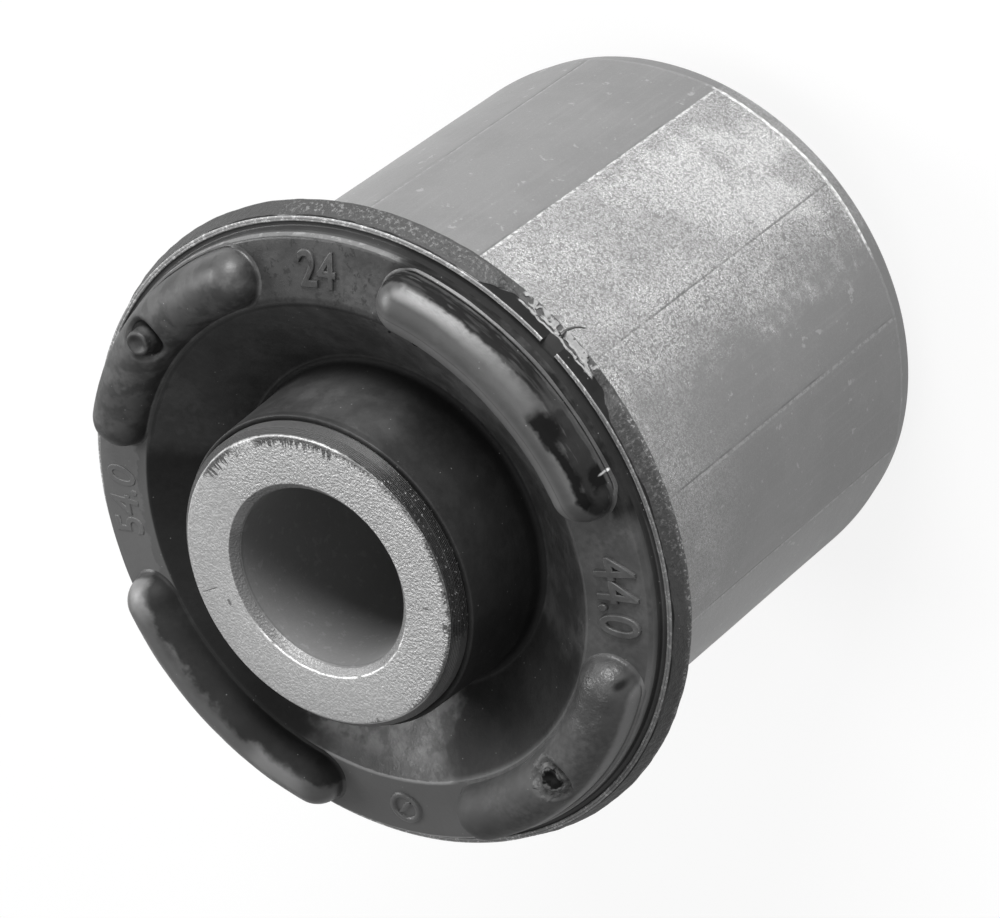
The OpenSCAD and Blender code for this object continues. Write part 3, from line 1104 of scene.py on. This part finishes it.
def rubberCorners():
    # from the front end of the skin out over the collar, and back through the sleeve to the rear
    c = collar
    lip = ridgeZ + c["lipRise"]
    edge = ridgeZ + c["annulusRise"]
    crease = lip - c["frontRecess"]
    skin = innerRadius + c["skin"]
    skinTop = frontZ - c["skinSetback"]
    groove = ridgeZ - c["grooveDepth"]
    rimZ = ridgeZ - c["rimHeight"]
    ridgeInner = ridgeRadius - c["ridgeWidth"]
    return [
        (innerRadius, c["skinSetback"], 0),
        (innerRadius, skinTop, 0),
        (skin, skinTop, 0.12),
        ((skin + c["creaseRadius"]) / 2, ridgeZ, 1.5),
        (c["creaseRadius"], crease, 0.45),
        (c["lipRadius"], lip, c["lipRound"]),
        (c["annulusRadius"] - c["annulusBevel"], edge + 0.03, 0.2),
        (c["annulusRadius"], edge - c["annulusBevel"], 0.12),
        (c["annulusRadius"] + c["grooveDepth"], groove, 0.12),
        (ridgeInner - c["grooveDepth"], groove, 0.12),
        (ridgeInner, ridgeZ, 0.06),
        (ridgeRadius, ridgeZ, 0.06),
        (rimRadius, rimZ + c["rimRound"], 0.35),
        (rimRadius - c["rimRound"], rimZ, 0.15),
        (flangeRadius, rimZ, 0),
        (flangeRadius, flangeTop, 0),
        (sleeveBore, flangeTop, outer["bend"]),
        (sleeveBore, rearLipZ, 0),
        (sleeveBore - c["rearLip"], rearLipZ, 0.3),
        (c["creaseRadius"], rearLipZ + c["rearRecess"], 0.5),
        (skin, c["skinSetback"], 0.12),
    ]


def onFront(point):
    # whether a point of the outline is on the front surface, from the crease to the ridge
    if not collar["creaseRadius"] - 0.1 < point.x < ridgeRadius + 0.05 or point.y < ridgeZ - 3:
        return False
    return point.y > ridgeZ - 0.2 or point.x < collar["lipRadius"]


rubberOutline = filletOutline(rubberCorners(), 12)
frontLine = sorted((p.x, p.y) for p in rubberOutline if onFront(p))
frontRadii = [p[0] for p in frontLine]
frontHeights = [p[1] for p in frontLine]


def frontHeight(radius):
    # height of the rubber's front surface at a radius, without the bumpers
    return float(np.interp(radius, frontRadii, frontHeights))


def notched(r, z, turnDegrees):
    # the notch's sloping floor across the ridge
    off = abs((turnDegrees - notch["turn"] + 180) % 360 - 180) * math.radians(1) * ridgeRadius
    if off > notch["width"] / 2 or r < 24.4 or z < ridgeZ - 1.6:
        return r, z
    slope = math.radians(notch["slope"])
    out, up = math.sin(slope), math.cos(slope)
    over = (r - ridgeRadius) * out + (z - ridgeZ) * up + notch["depth"]
    if over > 0:
        r, z = r - out * over, z - up * over
    return r, z


def makeRubberBody():
    outline = subdivided(rubberOutline, 0.9)
    coarse, fine, edge, step = 0.9, 0.3, 0.06, 0.04  # steps round, and a finer one at the notch's edges
    before, after = trim["low"] - 2, trim["high"] + 2
    low, high = notch["turn"] - halfNotch, notch["turn"] + halfNotch
    turns = turnList(
        [
            (-180, before, coarse),
            (before, low - edge, fine),
            (low - edge, low + edge, step),
            (low + edge, high - edge, fine),
            (high - edge, high + edge, step),
            (high + edge, after, fine),
            (after, 180, coarse),
        ]
    )

    def shape(r, z, t):
        degrees = math.degrees(t)
        x, y = r * math.cos(t), r * math.sin(t)
        onFlange = sleeveBore - 0.01 < r < flangeRadius + 0.02 and z < flangeTop + 0.01
        if r > innerRadius + 0.05 and not onFlange and (r < sleeveBore or z > flangeTop):
            z += 0.03 * wander(x, y, z, 0.35, 5.0)
        if r > ridgeRadius + 0.1 and z < ridgeZ - 0.15:
            r += 0.05 * wander(x, y, z, 1.0, 7.0) - 0.03
            if z > ridgeZ - 0.2 - trim["drop"]:
                start = blendStep(trim["low"], trim["low"] + 3, degrees)
                end = blendStep(trim["high"], trim["high"] - 3, degrees)
                r -= start * end * (trim["depth"] + 0.12 * wander(x, y, z, 1.6, 9.0))
        r, z = notched(r, z, degrees)
        return min(r, rimRadius - 0.005), z, t

    vertices, faces = lathe(outline, turns, shape)
    piece = newPiece("rubber_moulding", vertices, faces, faceRubber, "rubber", "rubber_body")
    piece.data.materials.append(rimRubber)
    for polygon in piece.data.polygons:
        x, y, z = polygon.center / mm
        onRim = math.hypot(x, y) > collar["annulusRadius"] + 0.04 and z > flangeTop - 3
        polygon.material_index = 1 if onRim else 0
    return piece


makeRubberBody()
print("rubber body made")


# the bumpers


def bumperProfile(base, centreZ, dome, foot):
    # (distance from the middle line, height) from the top of the dome down to the annulus
    footZ = base + foot
    if footZ > centreZ:
        footD = math.sqrt((dome + foot) ** 2 - (footZ - centreZ) ** 2)
        lowest = math.atan2(footZ - centreZ, footD)
    else:
        footD, lowest = dome + foot, 0.0
    points = []
    domeSteps, footSteps = 24, 6
    for k in range(domeSteps + 1):
        turn = math.pi / 2 + (lowest - math.pi / 2) * k / domeSteps
        points.append((dome * math.cos(turn), centreZ + dome * math.sin(turn)))
    wall = centreZ - footZ if footZ < centreZ else 0
    for k in range(1, 3):
        points.append((points[-1][0], points[-1][1] - wall / 2))
    for k in range(1, footSteps + 1):
        turn = math.pi + lowest + (math.pi / 2 - lowest) * k / footSteps
        points.append((footD + foot * math.cos(turn), footZ + foot * math.sin(turn)))
    return points


def bumperPath(half):
    # (turn along the circle, way that the profile faces) once round the bumper
    sideSteps, capSteps = 150, 44
    path = []
    for k in range(sideSteps):
        path.append((-half + 2 * half * k / sideSteps, 0.0))
    for k in range(capSteps):
        path.append((half, math.pi * k / capSteps))
    for k in range(sideSteps):
        path.append((half - 2 * half * k / sideSteps, math.pi))
    for k in range(capSteps):
        path.append((-half, math.pi + math.pi * k / capSteps))
    return path


def gateShift(x, y):
    # how much deeper the dimple is at a point; the gate stands on the middle line
    apart = math.hypot(x, y)
    return gates["depth"] * (1 - blendStep(gates["dimple"] - 0.5, gates["dimple"] + 0.25, apart))


def makeBumper(turnDegrees):
    circle, dome, foot = bumper["circle"], bumper["radius"], bumper["foot"]
    half = math.radians(bumper["span"] / 2) - math.asin(dome / circle)
    middle = math.radians(turnDegrees)
    centreZ = frontHeight(circle) + bumper["side"]
    hasGate = turnDegrees in gates["turns"]
    path = bumperPath(half)
    vertices = []
    rows = 0
    for along, facing in path:
        spine = middle + along
        across, onward = math.cos(facing), math.sin(facing)
        reach = circle + (dome + foot) * across
        base = frontHeight(math.hypot(reach, (dome + foot) * onward))
        profile = bumperProfile(base, centreZ, dome, foot)
        rows = len(profile)
        for j, (d, z) in enumerate(profile):
            r, s = circle + d * across, d * onward
            x = r * math.cos(spine) - s * math.sin(spine)
            y = r * math.sin(spine) + s * math.cos(spine)
            if j >= rows - 4:  # the foot follows the annulus
                z = z - base + frontHeight(math.hypot(x, y))
            if j == rows - 1:
                z -= 0.04
            if hasGate:
                z -= gateShift(x - circle * math.cos(middle), y - circle * math.sin(middle))
            lump = 0.035 * wander(x, y, z, 0.4, 11.0) + 0.012 * wander(x, y, z, 1.7, 2.0)
            z += lump * blendStep(centreZ - 0.6, centreZ + 0.4, z)
            vertices.append((x, y, z))
    faces = stripFaces(rows, len(path), False)
    piece = newPiece(f"rubber_bumper_{turnDegrees % 360}", vertices, faces, bumperRubber, "rubber")
    work = bmesh.new()
    work.from_mesh(piece.data)
    bmesh.ops.remove_doubles(work, verts=work.verts, dist=0.002 * mm)
    bmesh.ops.recalc_face_normals(work, faces=work.faces)
    work.to_mesh(piece.data)
    work.free()
    piece.data.shade_smooth()
    return piece


def stubOutline(top):
    # (share of the stub's radius, height above the bumper's top) from its hollow middle down to the dimple
    hollow = 0.28 if top > 0 else 0.10
    deep = gates["depth"]
    return [
        (0.0, top - hollow),
        (0.30, top - hollow),
        (0.50, top - hollow * 0.8),
        (0.66, top - 0.06),
        (0.80, top),
        (0.92, top - 0.04),
        (1.0, top - 0.15),
        (1.0, top - 0.3),
        (1.03, -0.35),
        (1.12, 0.1 - deep),
        (1.35, -0.2 - deep),
    ]


def makeGateStub(turnDegrees, top):
    middle = math.radians(turnDegrees)
    circle = bumper["circle"]
    centre = Vector((circle * math.cos(middle), circle * math.sin(middle)))
    topZ = frontHeight(circle) + bumper["side"] + bumper["radius"]
    tear = 0.07 if top > 0 else 0.30
    outline = stubOutline(top)
    columns = 56
    vertices = []
    for i in range(columns):
        t = 2 * math.pi * i / columns
        for share, z in outline:
            r = gates["stub"] * share
            if z > -0.4:
                r *= 1 + 0.06 * wander(math.cos(t), math.sin(t), z, 1.2, turnDegrees + 3.0)
            x, y = r * math.cos(t), r * math.sin(t)
            lift = tear * wander(x, y, 0.0, 1.7, turnDegrees + 4.0) if z > top - 0.4 else 0
            vertices.append((centre.x + x, centre.y + y, topZ + z + lift))
    faces = stripFaces(len(outline), columns, False)
    return newPiece(f"rubber_gate_stub_{turnDegrees}", vertices, faces, bumperRubber, "rubber")


for turn in bumper["turns"]:
    makeBumper(turn)
for turn, height in zip(gates["turns"], gates["stubHeights"]):
    makeGateStub(turn, height)
print("bumpers made")


# raised mould marks on the annulus


def onAnnulus(points, turnDegrees):
    # flat points (along, outward, height) laid on the annulus with their tops outward
    radius = marks["radius"]
    out = []
    for x, y, z in points:
        t = math.radians(turnDegrees) - x / radius
        r = radius + y
        out.append((r * math.cos(t), r * math.sin(t), frontHeight(r) + z))
    return out


def raisedText(words, size):
    # the points and faces of a number with rounded edges, its top at no height
    curve = bpy.data.curves.new("markWords", "FONT")
    curve.body = words
    curve.size = size
    curve.align_x = "CENTER"
    curve.align_y = "CENTER"
    curve.extrude = 0.3
    curve.bevel_depth = 0.09
    curve.bevel_resolution = 2
    curve.resolution_u = 6
    holder = bpy.data.objects.new("markWords", curve)
    mesh = bpy.data.meshes.new_from_object(holder)
    top = max(v.co.z for v in mesh.vertices)
    points = [(v.co.x, v.co.y, v.co.z - top) for v in mesh.vertices]
    faces = [tuple(p.vertices) for p in mesh.polygons]
    bpy.data.objects.remove(holder)
    bpy.data.curves.remove(curve)
    bpy.data.meshes.remove(mesh)
    return points, faces


def makeNumber(name, words, turnDegrees, size, rise):
    points, faces = raisedText(words, size)
    narrow = 0.86
    points = [(x * narrow, y, z + rise) for x, y, z in points]
    piece = newPiece(name, onAnnulus(points, turnDegrees), faces, faceRubber, "rubber")
    piece.data.set_sharp_from_angle(angle=math.radians(40))
    return piece


def makeRing(name, turnDegrees, radius, rise):
    # a raised ring with a short bar across it
    sunk, half, crown = -0.2, 0.30, 0.22
    profile = [
        (radius - half, sunk),
        (radius - crown, rise * 0.7),
        (radius, rise),
        (radius + crown, rise * 0.7),
        (radius + half, sunk),
    ]
    columns = 72
    points = []
    for i in range(columns):
        t = 2 * math.pi * i / columns
        points += [(r * math.cos(t), r * math.sin(t), z) for r, z in profile]
    faces = stripFaces(len(profile), columns, False)
    start = len(points)
    slant = 0.7
    for along, wide in ((-0.80, 0.14), (0.0, 0.36), (0.80, 0.14)):
        x, y = along * math.cos(slant), along * math.sin(slant)
        points += [(x - wide, y + wide, sunk), (x, y, rise), (x + wide, y - wide, sunk)]
    for a in (start, start + 3):
        faces += [(a, a + 1, a + 4, a + 3), (a + 1, a + 2, a + 5, a + 4)]
    return newPiece(name, onAnnulus(points, turnDegrees), faces, faceRubber, "rubber")


def makeWhisker():
    # a thin shred of rubber that hangs at the trimmed place: (radius, height, shift round) along it
    path = [
        (25.45, 45.30, 0.0),
        (25.72, 45.00, 0.05),
        (25.79, 44.55, -0.02),
        (25.79, 44.00, -0.16),
        (25.74, 43.45, -0.40),
        (25.70, 43.15, -0.62),
    ]
    turn = math.radians(notch["turn"] + 0.2)
    sides = 6
    vertices = []
    for k, (r, z, shift) in enumerate(path):
        size = 0.15 * (1 - 0.13 * k)
        for i in range(sides):
            around = 2 * math.pi * i / sides
            radius = min(r + size * math.cos(around), rimRadius - 0.005)
            t = turn + (shift + size * math.sin(around)) / radius
            vertices.append((radius * math.cos(t), radius * math.sin(t), z))
    faces = []
    for k in range(len(path) - 1):
        for i in range(sides):
            a, b = k * sides + i, k * sides + (i + 1) % sides
            faces.append((a, b, b + sides, a + sides))
    return newPiece("rubber_whisker", vertices, faces, bumperRubber, "rubber")


makeNumber("rubber_mark_inner", marks["inner"], -45, 3.8, 0.20)
makeNumber("rubber_mark_outer", marks["outer"], -136.5, 4.3, 0.27)
makeNumber("rubber_mark_length", marks["length"], 44, 3.9, 0.07)
makeRing("rubber_mark_ring", 135, 1.12, 0.24)
makeWhisker()
print("marks made")


# camera, floor and light

studio = {
    "floorSide": 4.0,
    "floorDrop": 0.02 * mm,  # so that the sleeve's rear face doesn't flicker in the floor
    "world": 0.19,
    # place, size and power of each lamp
    "keyLight": ((0.34, -0.52, 0.22), 0.32, 7.2),
    "sideLight": ((0.48, 0.22, 0.34), 0.30, 2.4),
    "topLight": ((-0.10, -0.15, 0.75), 0.5, 2.0),
}


def makeCamera():
    data = bpy.data.cameras.new("photoCamera")
    data.lens = camera["lens"]
    data.sensor_width = 36.0
    data.clip_start = 0.01
    data.clip_end = 20.0
    holder = bpy.data.objects.new("photoCamera", data)
    bpy.context.scene.collection.objects.link(holder)
    forward = Vector(camera["forward"]).normalized()
    up = Vector(camera["up"]).normalized()
    right = forward.cross(up).normalized()
    up = right.cross(forward)
    turn = Matrix((right, up, -forward)).transposed().to_4x4()
    holder.matrix_world = Matrix.Translation(camera["place"]) @ turn
    bpy.context.scene.camera = holder


def seenDirectly(tree, direct, mirrored):
    # how much a ray from the camera, or one through glass or off a glossy face, sees of a plain white
    rays = addNode(tree, "ShaderNodeLightPath")
    seen = maths("MAXIMUM", rays.outputs["Is Camera Ray"], rays.outputs["Is Transmission Ray"])
    return either(part(seen, direct), part(rays.outputs["Is Glossy Ray"], mirrored))


def makeFloor():
    mesh = bpy.data.meshes.new("floor")
    side, low = studio["floorSide"], -studio["floorDrop"]
    corners = [(-side, -side, low), (side, -side, low), (side, side, low), (-side, side, low)]
    mesh.from_pydata(corners, [], [(0, 1, 2, 3)])
    floor = bpy.data.objects.new("floor", mesh)
    bpy.context.scene.collection.objects.link(floor)
    material, tree, shader = newMaterial("paleFloor", specular=0.2)
    shader.inputs["Base Color"].default_value = grey(0.85)
    shader.inputs["Roughness"].default_value = 0.9
    glow = addNode(tree, "ShaderNodeEmission")
    glow.inputs["Strength"].default_value = 1.0
    mixed = addNode(tree, "ShaderNodeMixShader")
    feed(mixed.inputs["Fac"], seenDirectly(tree, 0.85, 0.3))
    feed(mixed.inputs[1], shader.outputs[0])
    feed(mixed.inputs[2], glow.outputs[0])
    feed(tree.nodes["Material Output"].inputs["Surface"], mixed.outputs[0])
    mesh.materials.append(material)


def areaLight(name):
    spot, size, power = studio[name]
    middle = Vector((0, 0, 0.03))
    data = bpy.data.lights.new(name, "AREA")
    data.shape = "RECTANGLE"
    data.size = data.size_y = size
    data.energy = power
    lamp = bpy.data.objects.new(name, data)
    bpy.context.scene.collection.objects.link(lamp)
    lamp.location = spot
    lamp.rotation_euler = (middle - Vector(spot)).to_track_quat("-Z", "Y").to_euler()


def makeLight():
    for name in ("keyLight", "sideLight", "topLight"):
        areaLight(name)
    world = bpy.data.worlds.new("studio")
    bpy.context.scene.world = world
    world.use_nodes = True
    tree = world.node_tree
    seen = seenDirectly(tree, 1.0, 0.3)
    colour = mixColour(seen, grey(studio["world"]), grey(1.0))
    feed(tree.nodes["Background"].inputs["Color"], colour)


makeCamera()
makeFloor()
makeLight()
bpy.context.scene.view_settings.view_transform = "Standard"
print("studio made")
